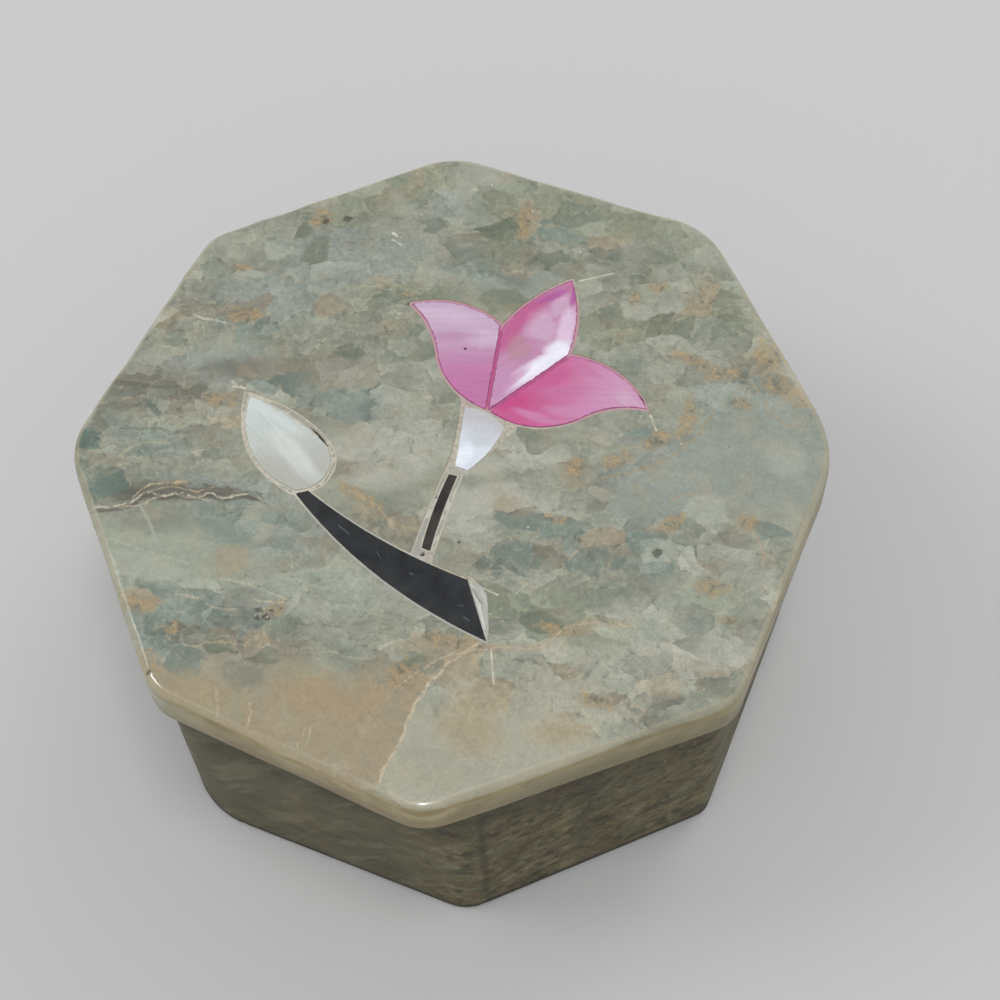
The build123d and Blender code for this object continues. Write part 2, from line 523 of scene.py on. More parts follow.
def patchMask(tree, point, places, softness, crumbs, grit):
    # 0 to 1: clouds at places (x, y, half length, half width in mm, and turn in degrees)
    inner, here = newGroup("patches")
    reach = 0.0
    for x, y, length, width, *turn in places:
        angle = math.radians(turn[0] if turn else patchTurn)
        local = addNode(inner, "Mapping", {
            "Vector": here, "Location": (x, y, lidTop / mm), "Rotation": (0, 0, angle),
            "Scale": (1.5 * length, 1.5 * width, 60.0),
        }, vector_type="TEXTURE")
        ball = addNode(inner, "TexGradient", {"Vector": local}, gradient_type="SPHERICAL")
        reach = addNode(inner, "Math", {0: reach, 1: ball.outputs["Fac"]}, operation="MAXIMUM")
    reach = useGroup(tree, inner, reach, point)
    frayed = addNode(tree, "Math", {0: crumbs, 1: grit, 2: reach}, operation="MULTIPLY_ADD")
    middle = 0.33 + grit / 2
    mask = between(tree, frayed, middle - softness / 2, middle + softness / 2)
    near = between(tree, reach, 0.0, 0.15)  # no crumb lies past the clouds
    return addNode(tree, "Math", {0: mask, 1: near}, operation="MULTIPLY")


def stretchedNoise(tree, point, size, turn=(0, 0, 0), detail=4.0, roughness=0.5):
    # noise in clouds of a size in mm along each axis, turned (radians)
    local = addNode(
        tree, "Mapping", {"Vector": point, "Rotation": turn, "Scale": size}, vector_type="TEXTURE"
    )
    return addNode(tree, "TexNoise", {
        "Vector": local, "Scale": 1.0, "Detail": detail, "Roughness": roughness,
    })


def besideLine(tree, point, start, end, bends):
    # how far along a bent line from start to end (mm) the point lies, and how far to its left, as shares
    a, b = Vector(start), Vector(end)
    length = (b - a).length
    local = addNode(tree, "Mapping", {
        "Vector": point, "Location": (a.x, a.y, 0.0), "Rotation": (0, 0, math.atan2(b.y - a.y, b.x - a.x)),
        "Scale": (length, length, length),
    }, vector_type="TEXTURE")
    parts = addNode(tree, "SeparateXYZ", {0: local})
    along, aside = parts.outputs[0], parts.outputs[1]
    if bends:
        course = addNode(tree, "FloatCurve", {"Value": along})
        points = course.mapping.curves[0].points
        points[0].location = (0.0, 0.5)
        points[1].location = (1.0, 0.5)
        for share, bend in bends:
            points.new(share, 0.5 + bend)
        course.mapping.update()
        away = addNode(tree, "Math", {0: course, 1: 0.5}, operation="SUBTRACT")
        aside = addNode(tree, "Math", {0: aside, 1: away}, operation="SUBTRACT")
    return along, aside, length


def veinMask(tree, point, start, end, bends, width):
    # 0 to 1: a line from start to end in mm, which bends sideways by shares of its length
    inner, here = newGroup("vein")
    along, aside, length = besideLine(inner, here, start, end, bends)
    gap = addNode(inner, "Math", {0: aside}, operation="ABSOLUTE")
    line = between(inner, gap, 0.9 * width / length, 0.3 * width / length)
    middle = addNode(inner, "Math", {0: along, 1: 0.5}, operation="SUBTRACT")
    reach = addNode(inner, "Math", {0: middle}, operation="ABSOLUTE")
    inside = between(inner, reach, 0.52, 0.44)
    mask = addNode(inner, "Math", {0: line, 1: inside}, operation="MULTIPLY")
    return useGroup(tree, inner, mask, point)


def paintOver(tree, colour, layers):
    # lays colours over one another, each where all its masks are: strength, sRGB hex, masks
    for strength, hexText, *masks in layers:
        share = strength
        for mask in masks:
            share = addNode(tree, "Math", {0: share, 1: mask}, operation="MULTIPLY")
        laid = addNode(tree, "Mix", {0: share, 6: colour, 7: linearColour(hexText)}, data_type="RGBA")
        colour = laid.outputs[2]
    return colour


def toned(tree, colour, value, darkest, lightest):
    # the colour, darker or lighter with a value about 0.5
    tone = addNode(tree, "MapRange", {
        "Value": value, "From Min": 0.3, "From Max": 0.7, "To Min": darkest, "To Max": lightest,
    })
    return addNode(tree, "VectorMath", {0: colour, "Scale": tone}, operation="SCALE")


def surfaced(material, tree, height, strength, depth, sockets):
    # ends a material: a shader with these sockets over a relief of a depth in mm
    relief = addNode(tree, "Bump", {"Height": height, "Strength": strength, "Distance": depth * mm})
    shader = addNode(tree, "BsdfPrincipled", {**sockets, "Normal": relief})
    addNode(tree, "OutputMaterial", {"Surface": shader})
    return material


# the courses of the longest veins: share of the length, sideways bend
longCrack = [
    (0.11, -0.003), (0.23, 0.025), (0.30, 0.083), (0.39, 0.064), (0.51, 0.067), (0.61, 0.048),
    (0.66, 0.075), (0.74, 0.034), (0.83, 0.057), (0.95, 0.027),
]
frontEnds = [(8.3, -37.6), (12.2, -19.1)]
frontVein = [
    (0.15, 0.028), (0.28, 0.048), (0.35, 0.070), (0.44, 0.088), (0.58, 0.105), (0.71, 0.099), (0.85, 0.068),
]
rightCrust = [(0.11, 0.057), (0.24, 0.089), (0.39, 0.079), (0.62, 0.030), (0.69, 0.069), (0.85, 0.068)]
lidSoapstone = {
    "grainTurn": 22,  # degrees, the way the bands of the stone run
    "cloud": (11.0, 5.5, 9.0),  # mm, along the bands, across them, and down
    # the lumps between healed cracks, and the crumbs: size (mm), how much of the way colours come from the
    # middle, and spread of tones
    "lump": ((4.4, 2.8, 4.0), 0.5, 0.13),
    "crumb": ((1.7, 1.1, 1.4), 0.6, 0.16),
    # mm: the size of eddies, and how far they push the stone about
    "torn": (1.6, 1.0),
    "stirred": (9.0, 4.6),
    "crooked": [(1.8, 0.8), (0.5, 0.42)],
    "coarse": 3.4,  # mm, and the sizes of the finer noises
    "fine": 0.8,
    "grain": 0.3,
    "dots": 1.9,
    "wear": 5.0,
    "ground": [(0.28, "#757C6E"), (0.40, "#878C7D"), (0.50, "#969989"), (0.60, "#A4A696"), (0.72, "#B0B0A2")],
    # the cracks don't run through the clearer stone, and are thickest in these places
    "clear": [
        (-22, -21, 9, 4, 12), (-9, -36, 8, 5, -10), (2, -32, 11, 5, 0), (17, -31, 12, 5), (31, 10, 8, 8),
        (23, 4, 6, 3, 45), (6, 9, 3, 6, 60), (-13, -4, 5, 3), (3, -3, 5, 4), (-27, 3, 5, 3), (0, 22, 6, 3),
        (-6, -8, 6, 3),
    ],
    "broken": [
        (-29, -12, 9, 2.5, 22), (-17, -29, 9, 3.5, 12), (-22, 8, 12, 3.5, 22), (-14, 17, 6, 3, 22),
        (15, -8, 10, 3.5, 22), (24, -19, 10, 3, 15), (9, -20, 10, 2.5, 12), (-4, 30, 6, 5, 22),
        (-34, 5, 4, 6, 22), (30, 0, 6, 3), (22, 24, 10, 5, 22), (-2, -11, 8, 1.5, 10), (-30, -5, 7, 3),
    ],
    # colour, strength, softness, grit, side of the vein at the front corner (0: both), places
    "minerals": [
        ("#929B93", 0.7, 0.5, 0.5, 0, [  # broad blue-grey clouds
            (-13.5, -16.5, 7, 2.5), (-5.5, -20, 6, 3), (-20.5, 19.5, 8, 4), (-26.5, 11, 6, 3.5),
            (25.5, 7.5, 12, 5, 45), (32, 12, 6, 7), (-27, 1, 6, 3), (-2, 24, 5, 3), (-20, -13, 7, 1.6, 15),
            (26, 17, 4, 4), (-13, 2, 5, 2), (-13, 31, 3.5, 2.2),
        ]),
        ("#A2A997", 0.75, 0.35, 0.4, 0, [  # pale green, clearer stone
            (-22, -22, 9, 4, 12), (-22, -26, 4, 2), (29, -10, 6, 3, 40), (-6, -19.5, 5, 3),
        ]),
        ("#7F8B80", 0.75, 0.5, 0.4, 0, [  # shaded blue-green stone
            (-15.6, -15.4, 7, 3, 15), (-7.7, 24.2, 3.5, 2), (24.3, -4.6, 3.5, 2.5),
            (-19.3, -28.6, 5.4, 4.2), (-34.9, -10.8, 2.5, 2, 0), (-11.3, 1.2, 3.5, 1.5), (-26.6, 6.5, 3, 2),
            (-29, -9.6, 4, 2), (-1.9, 31, 4, 2),
        ]),
        ("#B5B5A7", 0.8, 0.4, 0.5, 0, [  # pale grey stone in the middle and at the right
            (-7, -3.5, 6, 3.5), (4.5, -6, 4, 3), (3.5, 1, 4, 3), (8, -3, 4, 2), (30, -15.5, 6, 2.5, 30),
            (35, -11, 3, 2, 45), (26, -11, 5, 2),
        ]),
        ("#838972", 0.7, 0.4, 0.6, 0, [  # olive green
            (3.5, 35.5, 12, 3.5, 0), (-19, 30.5, 8, 3, 40), (-6, 29, 3, 6), (11.5, 21.5, 5, 3),
            (14, -14, 5, 2), (22, -14, 6, 2), (22, 28, 4, 3, 0), (-13, 16, 6, 2.5),
        ]),
        ("#857F6F", 0.75, 0.5, 0.7, 0, [  # grey brown, crumbled
            (-32.5, -4.5, 6, 3), (-20, 3.5, 9, 1.8), (-31, 8, 6, 1.5), (-12, -7, 5, 1.3),
            (-1, -11, 6, 1.2, 10), (-10, -28.5, 7, 2.2, 12), (14, -8, 9, 1.5, 25), (20, -23, 6, 1.4, 8),
        ]),
        ("#A2947A", 1, 0.6, 0.9, 1, [  # honey-coloured, iron-stained clear stone at the front corner
            (-9, -36, 6, 4, -10), (0, -33, 8, 5, 0), (-1, -37, 8, 3, 0), (-15, -35.5, 3, 1.5, -20),
            (6, -30, 5, 4), (8, -27, 3, 2, 0), (5, -35, 5, 4, 0),
        ]),
        ("#ABA997", 0.95, 0.3, 0.25, -1, [  # pale grey, clear stone beside it
            (18, -30, 12, 7), (10.5, -33, 4, 5, 0), (22, -22.8, 7, 3.4), (12, -36, 4, 5, 45),
        ]),
        ("#728077", 0.75, 0.2, 0.8, 0, [  # green-grey lumps that light sinks into
            (-15, -27, 2.5, 1.8), (-18.7, -30.5, 2.6, 2.1), (-11.8, -26, 1.5, 1.4, 0),
            (-14.5, -32.5, 1.5, 1.4, 0), (14.8, -4.9, 2.3, 1.6), (22.5, -2.4, 1.6, 1.5, 0),
            (18.8, 9.3, 1.5, 0.8), (18.4, -6.7, 2.8, 1.3), (11.6, -9.9, 2.7, 1.5), (10.2, -5.1, 2.4, 0.6),
            (34.3, 3.3, 2.6, 0.8, 0), (-21.1, 1.3, 3.1, 1.6), (-32.7, -6.7, 1.3, 1.1, 0),
            (-10.7, 0.8, 1.3, 1.1), (-12.5, 3, 2.5, 0.8),
        ]),
        ("#6F7764", 0.7, 0.2, 0.8, 0, [  # olive lumps
            (7.3, -23.6, 1.5, 0.8), (-7.5, 29.8, 2.6, 2.4), (4.1, 28.3, 1.5, 1.5, 0), (0.3, 27.5, 1.8, 1.3),
            (11.1, 28.4, 1.8, 0.9, 10), (10.3, 26.5, 1.5, 0.7), (-2, 20.2, 2.4, 1.9),
            (11.8, 32.5, 2.2, 2.6), (-27.2, 20.9, 1, 0.7, 0), (-24.4, 18.5, 1.2, 2),
            (-14.9, 15.6, 1.4, 1.9), (-13, 15.6, 1.5, 1.1), (-15.2, 8, 1.4, 1), (-11.1, 8.5, 1.8, 0.7),
            (16.5, 24.2, 2, 1.8), (-13.2, -29.8, 1.4, 0.8, 0), (-7.8, -29, 1.7, 0.7, 10),
            (16.4, -15.2, 1.8, 0.6),
        ]),
        ("#5F7268", 0.85, 0.3, 0.6, 0, [  # blue-green lumps at the left
            (-32.3, -17.8, 2, 1.9), (-36.9, -12.6, 1, 1.5), (-29.5, -17.6, 1.6, 0.7),
        ]),
        ("#716B5F", 0.55, 0.4, 0.9, 0, [  # dark, crumbled
            (-32.8, -4.2, 4.5, 1.2), (25.4, -20.6, 1.2, 0.5, 10), (30.9, -18.4, 1.5, 0.6, 10),
            (-21.7, 25.9, 0.6, 0.8, 0), (6.2, 29.2, 1.5, 0.7, 10), (-21.8, -14.4, 1.2, 0.7),
            (-20.4, -13.3, 2.6, 0.7, 15), (-27, -15.5, 1.6, 0.5), (16.5, -0.5, 1.4, 0.7, 40),
            (9, -7.6, 1.6, 0.8), (-37.3, -9.6, 0.8, 2.4),
        ]),
        ("#AEB3A4", 0.6, 0.22, 0.8, 0, [  # pale lumps and facets
            (-24.4, -24.6, 5, 1.7, 10), (-17.1, -24.1, 2.3, 1, 10), (18.7, -17.9, 2, 1.1, 10),
            (25.8, -12.7, 3.6, 1.6, 30), (32.6, -16.6, 1.4, 0.6), (9.5, -26.9, 0.8, 0.8, 0),
            (11.9, 24.5, 1.5, 1), (17.2, 8.5, 0.7, 0.5), (-28.9, 17.5, 1.8, 1.7, 30),
            (-14.4, 17.3, 1.3, 0.5, 0), (-11, 15.2, 1, 0.7), (4.8, -7.2, 2, 2), (26.1, -3.1, 2.5, 1.4, 10),
            (27.9, 2.9, 2.4, 2.1), (-31.7, -5.4, 0.7, 0.7, 0), (-17.8, 13.7, 1.2, 0.8, -20),
        ]),
        ("#A59880", 0.65, 0.4, 0.8, 0, [  # tan lumps
            (-31.5, -14.2, 1.2, 1.2, 0), (-15.5, -20.3, 1.9, 2), (-8.8, -26.9, 1.5, 1.6, 0),
            (-22.8, -27.8, 1.8, 1.1, 10), (-23.5, -4.8, 1.5, 1), (9, -21.4, 4.6, 1.4, 15),
            (19.5, -15.2, 2.2, 0.8, 10), (23.5, -22.6, 1.5, 0.9, 10), (28.5, -21.6, 2, 0.6, 10),
            (30, -17.4, 1.2, 0.9), (34.2, -14.4, 1.5, 0.9, 40), (-3.9, 32, 1.3, 3.2), (-1.8, 25.7, 1.4, 2),
            (6.5, 32.4, 1.8, 1.6), (-35.1, 4.7, 0.9, 1.6), (-19.8, 11.8, 1.1, 1.9), (-16.6, 18, 1.4, 1.1),
            (-12.4, 12.1, 2.4, 1), (-24.8, 1.3, 1, 1), (-18.6, 32.8, 1.5, 1.6, 0), (8.3, -4.1, 1.4, 1.3),
            (8.9, -7.8, 1.6, 0.8), (18.7, -3.9, 1.4, 0.7), (-0.2, -10.2, 1.8, 0.9, 10),
            (-3.8, -9.7, 2.8, 0.9, 0), (13.3, 2.3, 1.2, 1.3), (35.4, 0.7, 1.6, 0.8, -20),
            (23.5, -0.8, 1.5, 1, 60), (20, -18.8, 2.2, 0.8, 0),
        ]),
        ("#98977F", 0.55, 0.7, 0.5, 0, [  # greenish veils in the honey-coloured stone
            (-3.3, -33.6, 2, 0.7, -61), (-7.9, -34.8, 2.4, 0.6, -61), (-11.2, -35.6, 1.5, 1.5, 0),
            (3.5, -36.5, 1.5, 0.6, -61), (-3.3, -28.8, 2, 1.4),
        ]),
        ("#5F645A", 0.4, 0.6, 0.5, 0, [  # places where light sinks in
            (-9.8, 24.9, 3.5, 2.2), (-3, 27, 3, 2), (7.5, 27.1, 1.8, 1.5), (-1.9, 23.5, 1.6, 1.2, 0),
            (-15.5, 9.3, 3.2, 1.8), (-26.3, -2.2, 3, 1.8), (-26, 1, 3.4, 1.4), (-33, -4, 2, 3, 0),
            (-17, 0.3, 2, 1.2), (-31, -13.5, 2.2, 2.4, 0), (-25.5, -19, 4, 1.8), (-24, -14.6, 2.5, 1.2),
            (-29.5, -17.6, 2.5, 1.6), (-1.9, -9.8, 2.2, 1.4, 0), (-9.1, -16.4, 2.4, 1.6),
            (-11.8, -25, 2, 1.8, 0), (-16, -30, 2, 1.5, 0), (-8.9, -31.5, 2.2, 1.6, 0),
            (31, -9.8, 2.2, 2.6, 0), (29, -16, 3, 1.6), (27, 20.5, 2.5, 2.2),
        ]),
        ("#C6C6B8", 0.3, 0.6, 0.5, 0, [  # places that throw it back
            (-8.3, 30.1, 1.6, 1.4, 0), (9.2, 32.3, 2, 1.6, 0), (-12.8, 14.8, 1.8, 1.4),
            (-15.6, 5.1, 2.2, 1.2), (-2.6, -0.2, 2.6, 2.6, 0), (9.9, 2.7, 2.2, 1.6), (15.8, 5, 1.8, 1.6, 0),
            (33.4, 11.9, 2, 2, 0), (-6.2, -22.7, 2, 1.4), (10.2, -24.5, 2, 2.6, 0), (31, -0.7, 2, 1.6, 0),
            (35, -2.8, 1.2, 1.6, 0),
        ]),
        ("#A7926F", 0.5, 0.62, 0.9, 0, [  # a rusty glow deep in the clear stone
            (10.5, -23.5, 2.4, 1.6), (14.5, -28.5, 3, 2.5, 0), (13.6, -25.4, 4, 2.2),
            (22.4, -25.8, 2.6, 1.2), (-2, -31, 3, 2), (3, -30, 3, 1.6, 60), (-12.5, -35, 2.4, 1.6, -20),
            (18.7, 28.1, 2, 2.2, 0),
        ]),
    ],
    # what the lumps and the clear stone lean to: strength, colour, channel of the noise, low, high
    "tints": [
        (0.4, "#9C9079", 1, 0.52, 0.64), (0.35, "#76857A", 2, 0.52, 0.64), (0.3, "#B4B5A8", 2, 0.46, 0.36),
    ],
    "clearTints": [(0.25, "#B5A78B", 1, 0.5, 0.62), (0.25, "#8F927F", 0, 0.5, 0.62)],
    "rust": {  # rusty and ochre crusts
        "stain": "#93866B", "flake": "#A08B69", "spark": "#B39A70", "hole": "#706250",
        "softness": 0.6, "grit": 1.4,
        "places": [
            (-18.3, -34, 1.6, 1.2, -30), (5.9, -25.6, 1.4, 1.5, 0), (24.7, -21.3, 1.8, 0.7, 10),
            (31.1, -5.3, 1.4, 0.9), (11.5, 25.7, 0.7, 1.1, 0), (13.2, 28.4, 1.3, 0.7), (27.8, 24, 1.6, 2.2),
            (20, 20.3, 2.4, 0.7, -5), (23.7, 19.9, 1.9, 0.9), (26.7, 16.9, 1.5, 0.8, 10),
            (31.3, 20.2, 3, 1.2, -15), (-25.9, 23.7, 1.3, 1.1), (-31.6, 13.9, 1.1, 0.7),
            (-28.2, 8.2, 1.7, 1), (-25.2, -2.8, 1.8, 0.9), (13.6, -3.6, 1.4, 0.5, 10),
            (24.9, 0.4, 1.5, 0.8, 55), (32.1, 3.3, 1, 0.9), (13.1, 3.1, 1, 1.1), (33.9, -8.1, 1, 0.5),
            (-25.2, -14.2, 1.8, 0.3, 22), (-8.9, -23.5, 0.7, 1.3, -20), (-22.2, -28.2, 1.6, 0.9),
            (18.8, -15.3, 2.4, 0.6, 10), (22.2, 13, 0.8, 2.6, 10), (20, 9.2, 1.6, 0.8, 50),
            (16.8, 5.4, 1.8, 0.8, 40), (-6.6, -8.4, 2.4, 0.6, -10), (9.6, -20.4, 3.6, 0.8, 12),
            (-3.9, 31, 0.8, 2.2), (-17.5, -29.2, 1.2, 0.6), (-12.6, 17.2, 1, 0.5),
        ],
    },
    "soot": {  # dark, crumbled, along the long crack
        "colour": "#605B52", "strength": 0.7, "softness": 0.5, "grit": 2.8,
        "places": [
            (-28.6, -17, 2.2, 0.8, 30), (-24.6, -15.2, 2.6, 0.8, 22), (-20.6, -13.5, 2.6, 0.7, 15),
            (-17, -12.6, 1.6, 0.4, 10),
        ],
    },
    "ore": {  # dark specks of iron ore
        "colour": "#47443C", "strength": 0.8, "softness": 0.4, "grit": 1.5,
        "places": [
            (-10.4, -24.4, 0.5, 0.34), (-9.5, -24.9, 0.4, 0.3), (-10.3, -25.3, 0.3, 0.25),
            (-9.3, -24.1, 0.22, 0.2), (24.7, -3.4, 0.45, 0.6), (-25.2, 23.3, 0.4, 0.4),
            (-23.2, 24.6, 0.6, 0.3), (5.2, -9.9, 0.18, 0.18, 0),
        ],
    },
    "veins": [  # start, end (mm), bends, width (mm), colour, strength
        # the long jagged crack at the left, its dark side first, and the cracks beside it
        ((-32, -20.4), (-15, -12.9), longCrack, 0.36, "#605C53", 0.8),
        ((-32.3, -20.1), (-15, -12.6), longCrack, 0.22, "#BDB5A2", 0.9),
        ((-29.5, -19.2), (-20.6, -14.6), [(0.27, 0.05), (0.5, 0.12), (0.75, 0.06)], 0.17, "#B5AC95", 0.8),
        ((-28.5, -18), (-23.3, -13.4), [(0.27, 0.20), (0.56, 0.16)], 0.18, "#B4A88C", 0.8),
        ((-27.4, -16.4), (-20.8, -13), [(0.3, 0.06), (0.6, -0.03)], 0.3, "#736D60", 0.6),
        ((-27.4, -16.2), (-20.8, -12.8), [(0.3, 0.06), (0.6, -0.03)], 0.13, "#B0A184", 0.8),
        ((-38.1, -5.1), (-30.3, -2.8), [(0.48, -0.047), (0.66, -0.063)], 0.3, "#5F5A4D", 0.45),
        ((-34.2, -10.4), (-29.2, -8.6), [(0.5, 0.05)], 0.25, "#66655A", 0.5),
        ((-32.6, -13.5), (-29.1, -10.1), [(0.5, 0.1)], 0.24, "#B0A88F", 0.5),
        # veils and the edges of facets in the clear stone
        ((-27.5, -18), (-23.9, -21.3), [(0.5, 0.04)], 0.3, "#ADB0A1", 0.55),
        ((-28.9, -22.9), (-19.4, -22.4), [(0.5, 0.01)], 0.26, "#B2B8A8", 0.45),
        ((-16.2, -22.8), (-7.9, -22.4), [(0.39, 0.05)], 0.18, "#B9B7A2", 0.6),
        ((-11.6, -23.6), (-7.9, -22.6), [], 0.16, "#C6BD9F", 0.6),
        ((-21.9, -24.8), (-17, -25.7), [(0.4, 0.1)], 0.22, "#B7B7A5", 0.5),
        ((-20.2, -26.6), (-12.5, -25), [(0.3, 0.06), (0.7, -0.04)], 0.22, "#B5AF99", 0.55),
        ((-9.4, -19.6), (-3.4, -19.2), [(0.5, -0.1)], 0.2, "#AFAE9A", 0.5),
        ((-15.2, -30.9), (-9.8, -28.6), [(0.4, 0.1), (0.8, 0.06)], 0.2, "#B2A488", 0.6),
        ((-5.6, -27.4), (3, -24.6), [(0.3, 0.06), (0.7, -0.05)], 0.2, "#ADA68D", 0.5),
        ((-10.9, -33.6), (-9.2, -37.2), [(0.5, 0.1)], 0.22, "#B8AC90", 0.5),
        ((-6.1, -36.5), (-7.2, -33.8), [(0.44, -0.12)], 0.18, "#C3B597", 0.6),
        ((-0.4, -36.6), (-0.7, -34.5), [], 0.1, "#C9BC98", 0.6),
        ((0.2, -36), (-0.1, -34.2), [], 0.1, "#C9BC98", 0.5),
        # the vein at the front corner, and the crusts that it meets
        (*frontEnds, frontVein, 0.26, "#C6B89E", 0.85),
        ((5.9, -27.5), (26, -12.2), rightCrust, 0.8, "#A5967F", 0.45),
        ((5.9, -27.5), (26, -12.2), rightCrust, 0.14, "#BBAD96", 0.7),
        ((19.8, -18.5), (30, -20.4), [(0.37, -0.137), (0.70, -0.047)], 0.24, "#B2A289", 0.5),
        ((-20.1, 13.4), (-14.4, 19.8), [(0.3, 0.1), (0.6, -0.05)], 0.24, "#ABA58F", 0.5),
        ((-8.3, -8.4), (0.2, -10.3), [(0.3, 0.05), (0.7, -0.04)], 0.26, "#B1A284", 0.6),
        ((16.4, 24.4), (23.2, 29.6), [(0.5, 0.05)], 0.22, "#A9A68C", 0.5),
        ((24, 20.4), (33.6, 15.8), [(0.3, 0.06), (0.7, -0.04)], 0.26, "#A59271", 0.55),
        ((15.6, 2.6), (24.6, 15.4), [(0.3, -0.12), (0.6, -0.14)], 0.3, "#A3936F", 0.55),
        ((15, 6.4), (22.9, 13.2), [(0.5, -0.12)], 0.22, "#B0A382", 0.5),
        ((22.8, 0.4), (27.6, 5.2), [(0.5, 0.14)], 0.2, "#AF9A7A", 0.55),
        ((31.2, 4.2), (35.4, -1.8), [(0.5, 0.1)], 0.2, "#AF9A80", 0.5),
        ((5.6, -10.6), (16.4, -11.6), [(0.3, 0.06), (0.7, -0.04)], 0.24, "#AEA792", 0.5),
        ((12.8, -13.6), (13.6, -11.6), [], 0.16, "#C3BEAC", 0.6),
        ((-33.6, 6.2), (-29.4, 6.6), [(0.4, -0.06)], 0.2, "#C6C7BB", 0.7),
        ((-25.6, -0.4), (-22.8, -0.6), [(0.5, -0.1)], 0.3, "#C3BFA8", 0.7),
        ((-17.45, 24.6), (-16.05, 24.4), [], 0.18, "#DAD8CA", 0.9),
        ((-17.15, 23.6), (-15.75, 23.5), [], 0.16, "#D0CEC0", 0.8),
    ],
    "wax": (1.035, 1.025, 0.985),  # yellows all of it a little
    "overrunColour": "#D6D1C0",
    "rim": [(0.30, "#8F7D50"), (0.46, "#A08E60"), (0.56, "#AC9B6C"), (0.70, "#BAAB80")],
    "rimStreak": (5.0, 5.0, 2.4),  # mm
    "rimLeft": (-8.0, -20.0),  # mm across the lid: where the edge turns greener
    "rimRight": (14.0, 24.0),
    "under": "#A9A493",  # chalky where it was never polished
}


